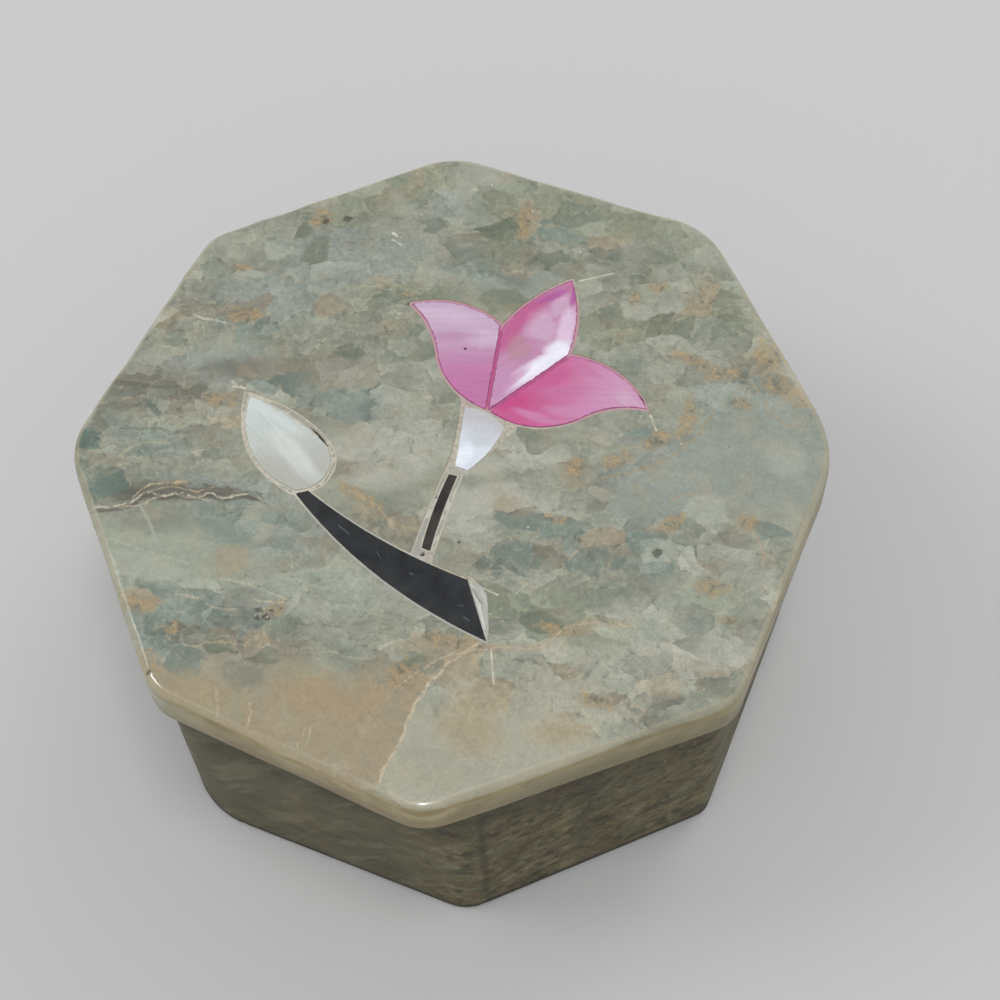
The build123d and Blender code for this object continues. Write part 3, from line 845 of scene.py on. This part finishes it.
def soapstonePolished(c):
    # soapstone with serpentine, sawn, ground, hand polished and waxed: broken, cloudy lumps of grey green
    # that the eye looks a little way into, under a soft gloss
    material, tree = newMaterial("soapstonePolished")
    point = millimetres(tree)
    patches = torn = stirred(tree, point, *c["torn"])
    loose = stirred(tree, torn, *c["stirred"])
    turn = (0, 0, math.radians(c["grainTurn"]))
    clear = patchMask(tree, torn, c["clear"], 0.3, 0.5, 0.0)
    whole = addNode(tree, "Math", {0: 1.0, 1: clear}, operation="SUBTRACT")
    broken = patchMask(tree, torn, c["broken"], 0.6, 0.5, 0.0)
    # the stone is broken into lumps and crumbs: each point takes its colour from nearer its lump's middle,
    # so the colours break off at the healed cracks
    lumpKinds = []
    for where, (size, share, spread) in ((whole, c["lump"]), (broken, c["crumb"])):
        local = addNode(
            tree, "Mapping", {"Vector": loose, "Rotation": turn, "Scale": size}, vector_type="TEXTURE"
        )
        lumps = addNode(tree, "TexVoronoi", {"Vector": local, "Scale": 1.0})
        rims = addNode(tree, "TexVoronoi", {"Vector": local, "Scale": 1.0}, feature="DISTANCE_TO_EDGE")
        home = addNode(tree, "Mapping", {
            "Vector": lumps.outputs["Position"], "Rotation": turn, "Scale": size,
        })
        away = addNode(tree, "VectorMath", {0: home, 1: loose}, operation="SUBTRACT")
        pull = addNode(tree, "Math", {0: where, 1: share}, operation="MULTIPLY")
        step = addNode(tree, "VectorMath", {0: away, "Scale": pull}, operation="SCALE")
        torn = addNode(tree, "VectorMath", {0: torn, 1: step}, operation="ADD")
        lumpKinds.append((away, lumps.outputs["Color"], rims.outputs["Distance"], where, spread))
    drift = stirred(tree, torn, *c["stirred"])
    coarse = addNode(tree, "TexNoise", {
        "Vector": drift, "Scale": 1 / c["coarse"], "Detail": 6.0, "Roughness": 0.62,
    })
    hues = addNode(tree, "SeparateColor", {0: coarse.outputs["Color"]})
    fine = addNode(tree, "TexNoise", {
        "Vector": loose, "Scale": 1 / c["fine"], "Detail": 4.0, "Roughness": 0.62,
    })
    clouds = stretchedNoise(tree, drift, c["cloud"], turn, 6.0, 0.6)
    colour = addNode(tree, "ValToRGB", {"Fac": clouds}, stops=c["ground"])
    # the vein at the front corner parts honey-coloured stone on its left from grey stone on its right
    crooked = point
    for size, push in c["crooked"]:
        crooked = stirred(tree, crooked, size, push)
    aside = besideLine(tree, crooked, *frontEnds, frontVein)[1]
    for hexText, strength, softness, grit, side, places in c["minerals"]:
        mask = patchMask(tree, torn, places, softness, coarse, grit)
        half = between(tree, aside, -0.008 * side, 0.008 * side) if side else 1.0
        colour = paintOver(tree, colour, [(strength, hexText, mask, half)])
    for where, tints in ((whole, c["tints"]), (clear, c["clearTints"])):
        for strength, hexText, hue, low, high in tints:
            mask = between(tree, hues.outputs[hue], low, high)
            colour = paintOver(tree, colour, [(strength, hexText, mask, where)])
    patchy = between(tree, hues.outputs[2], 0.40, 0.56)
    for away, own, rims, where, spread in lumpKinds:
        # a lump has its own tone, and grows darker to one side, as if light sank into it there
        lean = addNode(tree, "VectorMath", {0: own, 1: (0.5, 0.5, 0.5)}, operation="SUBTRACT")
        slope = addNode(tree, "VectorMath", {0: away, 1: lean}, operation="DOT_PRODUCT")
        tone = addNode(tree, "SeparateColor", {0: own})
        ends = {"Value": tone, "To Min": 1 - spread / 2, "To Max": 1 + spread / 2}
        ends = {0: slope.outputs["Value"], 1: spread * 0.9, 2: addNode(tree, "MapRange", ends)}
        tone = addNode(tree, "Math", ends, operation="MULTIPLY_ADD")
        lit = addNode(tree, "VectorMath", {0: colour, "Scale": tone}, operation="SCALE")
        mixed = addNode(tree, "Mix", {0: where, 6: colour, 7: lit}, data_type="RGBA")
        # healed cracks between them: thin and pale, in places only
        crack = between(tree, rims, 0.05, 0.01)
        colour = paintOver(tree, mixed.outputs[2], [
            (0.40, "#B3A88E", crack, where, between(tree, fine, 0.48, 0.60), patchy),
            (0.40, "#5F5F54", crack, where, between(tree, fine, 0.48, 0.38), patchy),
        ])
    # hair cracks that wander
    away = addNode(tree, "Math", {0: hues.outputs[0], 1: 0.5}, operation="SUBTRACT")
    gap = addNode(tree, "Math", {0: away}, operation="ABSOLUTE")
    hair = between(tree, gap, 0.008, 0.002)
    colour = paintOver(tree, colour, [(0.35, "#B6AB92", hair, broken, between(tree, fine, 0.46, 0.58))])
    # rusty crusts, which break up into flakes
    rust = c["rust"]
    crusted = patchMask(tree, patches, rust["places"], rust["softness"], fine, rust["grit"])
    grain = addNode(tree, "TexNoise", {
        "Vector": patches, "Scale": 1 / c["grain"], "Detail": 3.0, "Roughness": 0.7,
    })
    flaked = between(tree, fine, 0.44, 0.58)
    colour = paintOver(tree, colour, [
        (0.40, rust["stain"], crusted),
        (0.60, rust["flake"], crusted, flaked),
        (0.55, rust["spark"], crusted, flaked, between(tree, grain, 0.50, 0.60)),
        (0.55, rust["hole"], crusted, between(tree, fine, 0.47, 0.38)),
    ])
    for crumbled, crumb in ((c["soot"], fine), (c["ore"], grain)):
        softness, grit = crumbled["softness"], crumbled["grit"]
        mask = patchMask(tree, patches, crumbled["places"], softness, crumb, grit)
        colour = paintOver(tree, colour, [(crumbled["strength"], crumbled["colour"], mask)])
    # single veins, and the pale scratches of the saw past the inlay
    flaky = between(tree, fine, 0.34, 0.52)
    for start, end, bends, width, hexText, strength in c["veins"]:
        mask = veinMask(tree, crooked, start, end, bends, width)
        colour = paintOver(tree, colour, [(strength, hexText, mask, flaky)])
    for start, end in lidForm["overruns"]:
        mask = veinMask(tree, point, start, end, [], 0.16)
        colour = paintOver(tree, colour, [(0.75, c["overrunColour"], mask)])
    # flecks and grain
    dots = addNode(tree, "TexVoronoi", {"Vector": patches, "Scale": 1 / c["dots"]})
    dot = between(tree, dots.outputs["Distance"], 0.10, 0.05)
    pick = addNode(tree, "SeparateColor", {0: dots.outputs["Color"]})
    pale = addNode(tree, "Math", {0: pick.outputs[0], 1: 0.86}, operation="GREATER_THAN")
    dark = addNode(tree, "Math", {0: pick.outputs[1], 1: 0.92}, operation="GREATER_THAN")
    colour = paintOver(tree, colour, [(0.55, "#CFCEC0", dot, pale), (0.45, "#62645A", dot, dark)])
    speckled = toned(tree, toned(tree, colour, grain, 0.92, 1.08), fine, 0.86, 1.14)
    smooth = toned(tree, toned(tree, colour, grain, 0.96, 1.04), fine, 0.92, 1.08)
    colour = addNode(tree, "Mix", {0: clear, 6: speckled, 7: smooth}, data_type="RGBA").outputs[2]
    colour = addNode(tree, "VectorMath", {0: colour, 1: c["wax"]}, operation="MULTIPLY")
    # the upright edge is honey-coloured, with painted shade that darkens its lower half, greener to both
    # sides, with painted highlights where it rounds over and along its lower edge at the right; the underside
    # was left chalky
    facing = addNode(tree, "SeparateXYZ", {0: addNode(tree, "TexCoord", {}).outputs["Normal"]})
    height = addNode(tree, "SeparateXYZ", {0: point})
    streaks = stretchedNoise(tree, loose, c["rimStreak"], detail=5.0)
    rim = addNode(tree, "ValToRGB", {"Fac": streaks}, stops=c["rim"])
    foot = lidUnder / mm
    left = between(tree, height.outputs[0], *c["rimLeft"])
    right = between(tree, height.outputs[0], *c["rimRight"])
    rimColour = paintOver(tree, toned(tree, rim, fine, 0.94, 1.06), [
        (0.75, "#A9AB93", left), (0.35, "#8E8B66", right),
        # painted shade: darker in the lower half of the edge, more so at the right
        (0.42, "#645636", between(tree, height.outputs[2], foot + 3.8, foot + 1)),
        (0.30, "#5F5636", right, between(tree, height.outputs[2], foot + 4.4, foot + 2.6)),
        # painted highlight: a pale line along the lower edge at the right
        (0.22, "#CFC4A0", right, between(tree, height.outputs[2], foot + 0.5, foot + 0.3)),
    ])
    onRim = between(tree, facing.outputs[2], 0.70, 0.20)
    colour = addNode(tree, "Mix", {0: onRim, 6: colour, 7: rimColour}, data_type="RGBA").outputs[2]
    # painted highlight: a pale band where the edge rounds over
    highlightBand = between(tree, facing.outputs[2], 0.98, 0.85)
    sharp = between(tree, facing.outputs[2], 0.35, 0.60)
    colour = paintOver(tree, colour, [(0.32, "#CDBF9C", highlightBand, sharp)])
    below = between(tree, height.outputs[2], foot + 0.12, foot + 0.04)
    colour = toned(tree, paintOver(tree, colour, [(1.0, c["under"], below)]), grain, 0.96, 1.04)
    # wax and handling: satin, with duller spots, dull underneath
    wear = addNode(tree, "TexNoise", {"Vector": point, "Scale": 1 / c["wear"], "Detail": 4.0})
    rough = addNode(tree, "MapRange", {
        "Value": wear, "From Min": 0.3, "From Max": 0.7, "To Min": 0.26, "To Max": 0.42,
    })
    rough = addNode(tree, "Mix", {0: below, 2: rough, 3: 0.75})
    return surfaced(material, tree, fine, 0.12, 0.05, {
        "Base Color": colour, "Roughness": rough, "IOR": 1.54, "Specular IOR Level": 0.3,
        "Coat Weight": 0.12, "Coat Roughness": 0.1,
    })


baseSoapstone = {
    "layer": (5.5, 5.5, 3.2),  # mm, the stone's layers lie nearly level
    "layerTurn": (0.06, -0.05, 0),  # radians
    "blotch": (5.0, 5.0, 3.0),
    "fleck": (1.8, 1.8, 1.25),
    "ground": [(0.30, "#3F3C2D"), (0.42, "#57523E"), (0.52, "#69634C"), (0.62, "#7B7458"), (0.74, "#918969")],
    "brown": "#6B5A3F",
    "green": "#5D6652",
    "light": "#8F8870",
    "dark": "#383429",
    "rusty": "#7A5F48",
    "veil": "#8B8674",
    "veilSize": (9.0, 9.0, 1.8),
    "veilTurn": (0.0, -0.9, 0.2),
    "stains": [(17.2, -33.4, 0.5, 0.5, 0), (27.0, -26.0, 2.5, 2.5, 0)],
    "smooth": "#5B5849",
    "handled": (0.92, 0.90, 0.76),  # hands have browned the outside
    "flecked": (5.0, 17.0),  # mm across the base: flecks grow thick to the right
    "lidShadow": "#2E2A1A",  # painted shadow under the overhang of the lid
    "lidShadowHeight": (17.0, 27.0),  # mm
    "contactShadow": "#15130E",  # painted contact shadow where it stands
    "contactShadowHeight": (1.7, 0.3),
    "chalk": "#AAA593",
    "middle": (0.5, 0.6, 0.0),  # of the base, mm
    "hollow": (35.4, 34.2),  # mm from there, where the sides end and the hollow and rim begin
}


def soapstoneSawn(c):
    # soapstone, sawn, rubbed with coarse paper and darkened by handling: dull, with layers and veils; the
    # hollow and the underside, which hands don't reach, are pale and chalky
    material, tree = newMaterial("soapstoneSawn")
    point = millimetres(tree)
    loose = stirred(tree, point, 1.4, 0.9)
    crumbs = addNode(tree, "TexNoise", {"Vector": loose, "Scale": 1 / 0.8, "Detail": 5.0, "Roughness": 0.65})
    clouds = stretchedNoise(tree, loose, c["layer"], c["layerTurn"], 8.0, 0.66)
    ground = addNode(tree, "ValToRGB", {"Fac": clouds}, stops=c["ground"])
    mottle = stretchedNoise(tree, loose, c["blotch"], detail=6.0)
    parts = addNode(tree, "SeparateColor", {0: mottle.outputs["Color"]})
    # level flecks, thick on the sides to the right, and slanting veils left by coarse paper
    place = addNode(tree, "SeparateXYZ", {0: point})
    right = between(tree, place.outputs[0], *c["flecked"])
    left = addNode(tree, "Math", {0: 1.0, 1: right}, operation="SUBTRACT")
    flecks = stretchedNoise(tree, loose, c["fleck"], roughness=0.6)
    kinds = addNode(tree, "SeparateColor", {0: flecks.outputs["Color"]})
    veils = stretchedNoise(tree, loose, c["veilSize"], c["veilTurn"])
    stained = patchMask(tree, loose, c["stains"], 0.6, crumbs, 0.8)
    colour = paintOver(tree, ground, [
        (0.6, c["brown"], between(tree, parts.outputs[0], 0.50, 0.64)),
        (0.5, c["green"], between(tree, parts.outputs[1], 0.52, 0.66)),
        (0.55, c["smooth"], left),
        (0.40, c["veil"], between(tree, veils, 0.52, 0.66)),
        (0.60, c["light"], between(tree, kinds.outputs[0], 0.51, 0.65), right),
        (0.72, c["dark"], between(tree, kinds.outputs[1], 0.50, 0.65), right),
        (0.50, c["rusty"], between(tree, kinds.outputs[2], 0.55, 0.66), right),
        (0.55, c["dark"], stained),
        # painted shadow: darker towards the top of the sides, under the lid's overhang
        (0.50, c["lidShadow"], between(tree, place.outputs[2], *c["lidShadowHeight"])),
        # painted contact shadow: dark along the foot
        (0.88, c["contactShadow"], between(tree, place.outputs[2], *c["contactShadowHeight"])),
    ])
    colour = toned(tree, colour, crumbs, 0.84, 1.16)
    colour = addNode(tree, "VectorMath", {0: colour, 1: c["handled"]}, operation="MULTIPLY")
    grain = addNode(tree, "TexNoise", {"Vector": point, "Scale": 1 / 0.3, "Detail": 3.0, "Roughness": 0.7})
    # the hollow, the rim under the lid and the underside
    flat = addNode(tree, "CombineXYZ", {0: place.outputs[0], 1: place.outputs[1]})
    reach = addNode(tree, "VectorMath", {0: flat, 1: c["middle"]}, operation="DISTANCE")
    inside = between(tree, reach.outputs["Value"], *c["hollow"])
    top = between(tree, place.outputs[2], lidUnder / mm - 0.15, lidUnder / mm - 0.02)
    bottom = between(tree, place.outputs[2], 0.25, 0.03)
    sheltered = addNode(tree, "Math", {0: inside, 1: top}, operation="MAXIMUM")
    sheltered = addNode(tree, "Math", {0: sheltered, 1: bottom}, operation="MAXIMUM")
    colour = paintOver(tree, colour, [(0.66, c["chalk"], sheltered)])
    colour = toned(tree, colour, grain, 0.93, 1.07)
    # cutter marks in the hollow: rings a little over a millimetre apart
    rings = addNode(tree, "TexWave", {
        "Vector": point, "Scale": 0.26, "Distortion": 2.5, "Detail": 2.0,
    }, wave_type="RINGS", rings_direction="Z")
    marks = addNode(tree, "Math", {0: rings.outputs["Fac"], 1: inside}, operation="MULTIPLY")
    height = addNode(tree, "Math", {0: marks, 1: crumbs}, operation="ADD")
    return surfaced(material, tree, height, 0.35, 0.12, {
        "Base Color": colour, "Roughness": 0.6, "IOR": 1.54, "Specular IOR Level": 0.25,
    })


inlayCement = {
    "ground": [(0.35, "#9C9583"), (0.5, "#B5AE9B"), (0.65, "#CBC3AE")],
    "dyed": {"colour": "#C48C9B", "places": [(2, 15, 13, 8, 0), (10, 13, 9, 5, -15), (-6, 15, 7, 5)]},
    "grey": {
        "colour": "#B2B2A9",
        "places": [(-4, -14.5, 13, 3.6, -18), (2, -7.4, 1.6, 6.2, -6), (10, -17, 3, 4, 0)],
    },
    "seams": [((1.9, 6.3), (-0.75, 17.0)), ((1.9, 6.3), (7.3, 16.1))],  # between the petals, full of dye
    "seamColour": "#B8357F",
    # mixed with stone dust, where the pocket was cut too wide
    "wide": {"colour": "#99978A", "places": [(-17.5, -5.8, 9, 6.5, -28), (1.5, -7.5, 2.6, 5.6, -6)]},
    "line": "#CDC6B1",
    # saw scratches in the wedge past the branch
    "scratches": [
        ((8.3, -13.7), (11.6, -17.9), "#D3D2C8"), ((8, -14.4), (11, -18.4), "#7F8175"),
        ((9.2, -13.6), (11.4, -16.2), "#C9C9BF"), ((8.6, -14.2), (10.4, -15.6), "#77796E"),
        ((10, -15.6), (11.9, -18.9), "#D8D6CB"),
    ],
}


def cementSmeared(c):
    # white cement with stone dust, pressed in and ground flush: matt and gritty, pink with dye near the
    # petals
    material, tree = newMaterial("cementSmeared")
    point = millimetres(tree)
    loose = stirred(tree, point, 1.2, 0.4)
    grit = addNode(tree, "TexNoise", {"Vector": loose, "Scale": 1 / 0.4, "Detail": 5.0, "Roughness": 0.7})
    colour = addNode(tree, "ValToRGB", {"Fac": grit}, stops=c["ground"])
    for zone in (c["dyed"], c["grey"]):
        mask = patchMask(tree, point, zone["places"], 0.4, grit, 0.3)
        colour = paintOver(tree, colour, [(0.8, zone["colour"], mask)])
    # where the pocket was cut too wide, only thin lines of it along both edges are pale
    edge = addNode(tree, "Attribute", {}, attribute_name="edgeDistance")
    frayed = addNode(
        tree, "Math", {0: grit, 1: 0.3, 2: edge.outputs["Fac"]}, operation="MULTIPLY_ADD"
    )
    core = between(tree, frayed, 0.24, 0.34)
    wide = patchMask(tree, point, c["wide"]["places"], 0.2, 0.5, 0.0)
    line = addNode(tree, "Math", {0: 1.0, 1: core}, operation="SUBTRACT")
    colour = paintOver(tree, colour, [
        (0.75, c["wide"]["colour"], wide, core), (0.7, c["line"], wide, line),
    ])
    for start, end in c["seams"]:
        seam = veinMask(tree, loose, start, end, [], 0.7)
        colour = paintOver(tree, colour, [(0.85, c["seamColour"], seam)])
    for start, end, hexText in c["scratches"]:
        scratch = veinMask(tree, loose, start, end, [], 0.16)
        colour = paintOver(tree, colour, [(0.7, hexText, scratch)])
    colour = paintOver(tree, colour, [(0.6, "#7A7466", between(tree, grit, 0.36, 0.28))])
    height = addNode(tree, "SeparateXYZ", {0: point})
    # painted shade deep in the unfilled gaps and the pits
    recessShade = between(tree, height.outputs[2], lidTop / mm - 0.16, lidTop / mm - 0.34)
    colour = paintOver(tree, colour, [(0.92, "#2B2822", recessShade)])
    return surfaced(material, tree, grit, 0.4, 0.06, {"Base Color": colour, "Roughness": 0.7, "IOR": 1.5})


# Shell: washes are dye, and the lustre as painted highlights and painted shade, as places (x, y, half length,
# half width in mm, turn in degrees)
petalLeftDye = {
    "top": "#CDB0C7", "foot": "#C574A4", "from": (-6.0, 16.8), "to": (-2.0, 8.2),
    "lineTurn": 21, "line": (7.0, 0.28), "lineStrength": 0.06,
    "washes": [
        (0.7, "#D8BDD0", [(-7.4, 16.2, 3.6, 0.9, 14), (-2, 14.9, 2.2, 1.2, 14)]),
        (0.6, "#BD89AC", [(-5.8, 13.7, 3.2, 0.6, 21)]),
        (0.5, "#C77CA9", [(-1.2, 8.8, 4, 1, -14)]),
        (1, "#1E1714", [(-3.5, 12.8, 0.16, 0.16, 0)]),
    ],
    "outline": "#9A3372", "outlineWidth": 0.14,
}
petalMiddleDyeAndSheen = {
    "top": "#C0759C", "foot": "#C995B8", "from": (3.2, 24.0), "to": (2.2, 8.0),
    "lineTurn": 60, "line": (3.0, 0.5), "lineStrength": 0.05,
    "washes": [
        (0.9, "#C45A8D", [(1.1, 19.6, 1.1, 2.8, -25), (0.4, 16.6, 0.9, 2.8, -6)]),
        (0.7, "#B98A90", [(2, 15, 1.2, 1.6)]),
        (0.65, "#D9B9CF", [(3.4, 18.6, 1.7, 2.4, 10), (4.2, 21.8, 1.1, 2.2, 12)]),
        (0.5, "#C27BA5", [(3, 16.4, 1.4, 0.35, 15), (4.6, 20.4, 0.9, 0.3, 60)]),
        # painted highlights: the white sheen of the lustre at the right side
        (0.8, "#EAD2E6", [(5.9, 19, 0.9, 3.2, 6)]),
        (1, "#F8F4FC", [(5, 13.9, 4.4, 1, 61), (6.1, 16.3, 1.5, 1.2, 40)]),
        (0.7, "#C986B3", [(2.8, 10.6, 2.6, 0.5, 66)]),
        (0.8, "#B14E99", [(5, 24, 0.35, 1.7, 12), (2.9, 23, 1.8, 0.5, 50)]),
    ],
    "outline": "#9A2E70", "outlineWidth": 0.14,
}
petalRightDye = {
    "top": "#CD588E", "foot": "#D29ABA", "from": (5.0, 10.0), "to": (15.5, 11.0),
    "lineTurn": 20, "line": (6.0, 0.35), "lineStrength": 0.06,
    "washes": [
        (0.9, "#CE4384", [(3.9, 8.2, 1.8, 1.1, 30)]),
        (0.7, "#CB5A90", [(6.4, 12.2, 2.8, 1, 45)]),
        (0.7, "#D28CB6", [(6.8, 7.4, 2.4, 0.5, 0), (10.4, 9.5, 2.8, 0.7, 18)]),
        (0.6, "#CB74A1", [(8.4, 11.3, 2.4, 0.9), (9.8, 15, 2.2, 0.4, -8)]),
        (0.8, "#D6ABC1", [(15.6, 12.7, 1.6, 0.8, -25)]),
    ],
    "outline": "#9A3372", "outlineWidth": 0.14,
}
calyxLustre = {
    "top": "#C5C3C3", "foot": "#E2E8EE", "from": (2.0, 5.8), "to": (1.9, 0.5),
    "lineTurn": 20, "line": (5.0, 0.4), "lineStrength": 0.04,
    "washes": [
        (0.6, "#CBD0D3", [(2.4, 3.3, 1.2, 1.5, 0)]),
        (0.9, "#F2F7FB", [(1.6, -0.1, 0.9, 1.6, -10)]),
    ],
    "outline": "#BFC0B6", "outlineWidth": 0.10,
}
budLustre = {
    "top": "#CDD4CC", "foot": "#BBBCB0", "from": (-20.0, -2.5), "to": (-14.5, -9.5),
    "lineTurn": -28, "line": (9.0, 0.25), "lineStrength": 0.05,
    # painted highlights and painted shade: the lustre's pale and dim bands across the bud
    "washes": [
        (0.6, "#DCE3DD", [(-21.3, -2.5, 1.9, 0.9, -25), (-18.2, -3, 3, 0.5, -18)]),
        (0.35, "#B9C2BC", [(-18.4, -4.6, 3.4, 0.5, -28)]),
        (0.65, "#DFE3DA", [(-15.4, -6.2, 4.2, 1.1, -30)]),
        (0.4, "#B6B6A8", [(-15.8, -9, 3.2, 0.9, -20)]),
    ],
    "outline": "#A5A492", "outlineWidth": 0.12,
}


def pearlShell(name, c):
    # mother-of-pearl, ground flat and polished: growth lines, and lustre as painted highlights, bright where
    # its layers catch light
    material, tree = newMaterial(name)
    point = millimetres(tree)
    loose = stirred(tree, point, 2.2, 0.6)
    fine = addNode(tree, "TexNoise", {"Vector": point, "Scale": 1 / 0.5, "Detail": 4.0})
    a, b = Vector((*c["from"], 0)), Vector((*c["to"], 0))
    away = addNode(tree, "VectorMath", {0: loose, 1: a}, operation="SUBTRACT")
    along = (b - a) / (b - a).length_squared
    share = addNode(tree, "VectorMath", {0: away, 1: along}, operation="DOT_PRODUCT")
    blend = between(tree, share.outputs["Value"], 0.0, 1.0)
    colour = paintOver(tree, linearColour(c["top"]), [(1.0, c["foot"], blend)])
    for strength, hexText, places in c["washes"]:
        crisp = min(place[2] for place in places) < 0.3  # a pit, not a cloud
        mask = patchMask(tree, point if crisp else loose, places, 0.12 if crisp else 0.62, fine, 0.1)
        colour = paintOver(tree, colour, [(strength, hexText, mask)])
    growth = stretchedNoise(tree, loose, (*c["line"], 3.0), (0, 0, math.radians(c["lineTurn"])), 3.0)
    colour = toned(tree, colour, growth, 1 - c["lineStrength"], 1 + c["lineStrength"])
    colour = toned(tree, colour, fine, 0.97, 1.03)
    edge = addNode(tree, "Attribute", {}, attribute_name="edgeDistance")
    uneven = addNode(tree, "Math", {0: fine, 1: 0.3, 2: -0.15}, operation="MULTIPLY_ADD")
    distance = addNode(tree, "Math", {0: edge.outputs["Fac"], 1: uneven}, operation="ADD")
    outline = between(tree, distance, c["outlineWidth"], c["outlineWidth"] * 0.4)
    colour = paintOver(tree, colour, [(0.85, c["outline"], outline)])
    return surfaced(material, tree, growth, 0.15, 0.04, {
        "Base Color": colour, "Roughness": 0.28, "IOR": 1.53, "Specular IOR Level": 0.5,
        "Coat Weight": 0.4, "Coat Roughness": 0.12,
    })


stemBlack = {"ground": [(0.3, "#1F1D19"), (0.6, "#38352B")], "scratches": []}
branchBlack = {
    "ground": [(0.3, "#161717"), (0.65, "#242626")],
    "scratches": [
        ((-7.2, -12.5), (-5.6, -13.1), 0.10), ((9, -17.5), (9.8, -17.8), 0.10),
        ((2, -15), (2.4, -15), 0.12), ((7.9, -16.6), (8.6, -16.4), 0.06),
        ((-2.2, -13.9), (-1.4, -14.5), 0.06),
    ],
}


def blackStone(name, c):
    # black slate-like stone, ground flush and polished: near black with a dull sheen and a few scuffs
    material, tree = newMaterial(name)
    point = millimetres(tree)
    clouds = addNode(tree, "TexNoise", {"Vector": point, "Scale": 1 / 2.2, "Detail": 6.0, "Roughness": 0.6})
    ground = addNode(tree, "ValToRGB", {"Fac": clouds}, stops=c["ground"])
    grain = addNode(tree, "TexNoise", {"Vector": point, "Scale": 1 / 0.25, "Detail": 3.0})
    colour = toned(tree, ground, grain, 0.85, 1.15)
    for start, end, width in c["scratches"]:
        mask = veinMask(tree, point, start, end, [], width)
        colour = paintOver(tree, colour, [(0.28, "#8D9294", mask)])
    rough = addNode(tree, "MapRange", {
        "Value": clouds, "From Min": 0.3, "From Max": 0.7, "To Min": 0.32, "To Max": 0.48,
    })
    return surfaced(material, tree, grain, 0.1, 0.03, {
        "Base Color": colour, "Roughness": rough, "IOR": 1.5, "Specular IOR Level": 0.35,
    })


finishes = {
    lidStone: soapstonePolished(lidSoapstone),
    baseStone: soapstoneSawn(baseSoapstone),
    cementBed: cementSmeared(inlayCement),
    inlay["petal_left"]: pearlShell("shellDyedPolishedLeft", petalLeftDye),
    inlay["petal_middle"]: pearlShell("shellDyedPolishedMiddle", petalMiddleDyeAndSheen),
    inlay["petal_right"]: pearlShell("shellDyedPolishedRight", petalRightDye),
    inlay["calyx"]: pearlShell("shellWhitePolishedCalyx", calyxLustre),
    inlay["bud"]: pearlShell("shellWhitePolishedBud", budLustre),
    inlay["stem"]: blackStone("blackStonePolishedStem", stemBlack),
    inlay["branch"]: blackStone("blackStonePolishedBranch", branchBlack),
}
for piece, material in finishes.items():
    piece.data.materials.clear()
    piece.data.materials.append(material)
print("stage: materials")

bpy.context.scene.view_settings.view_transform = "Standard"
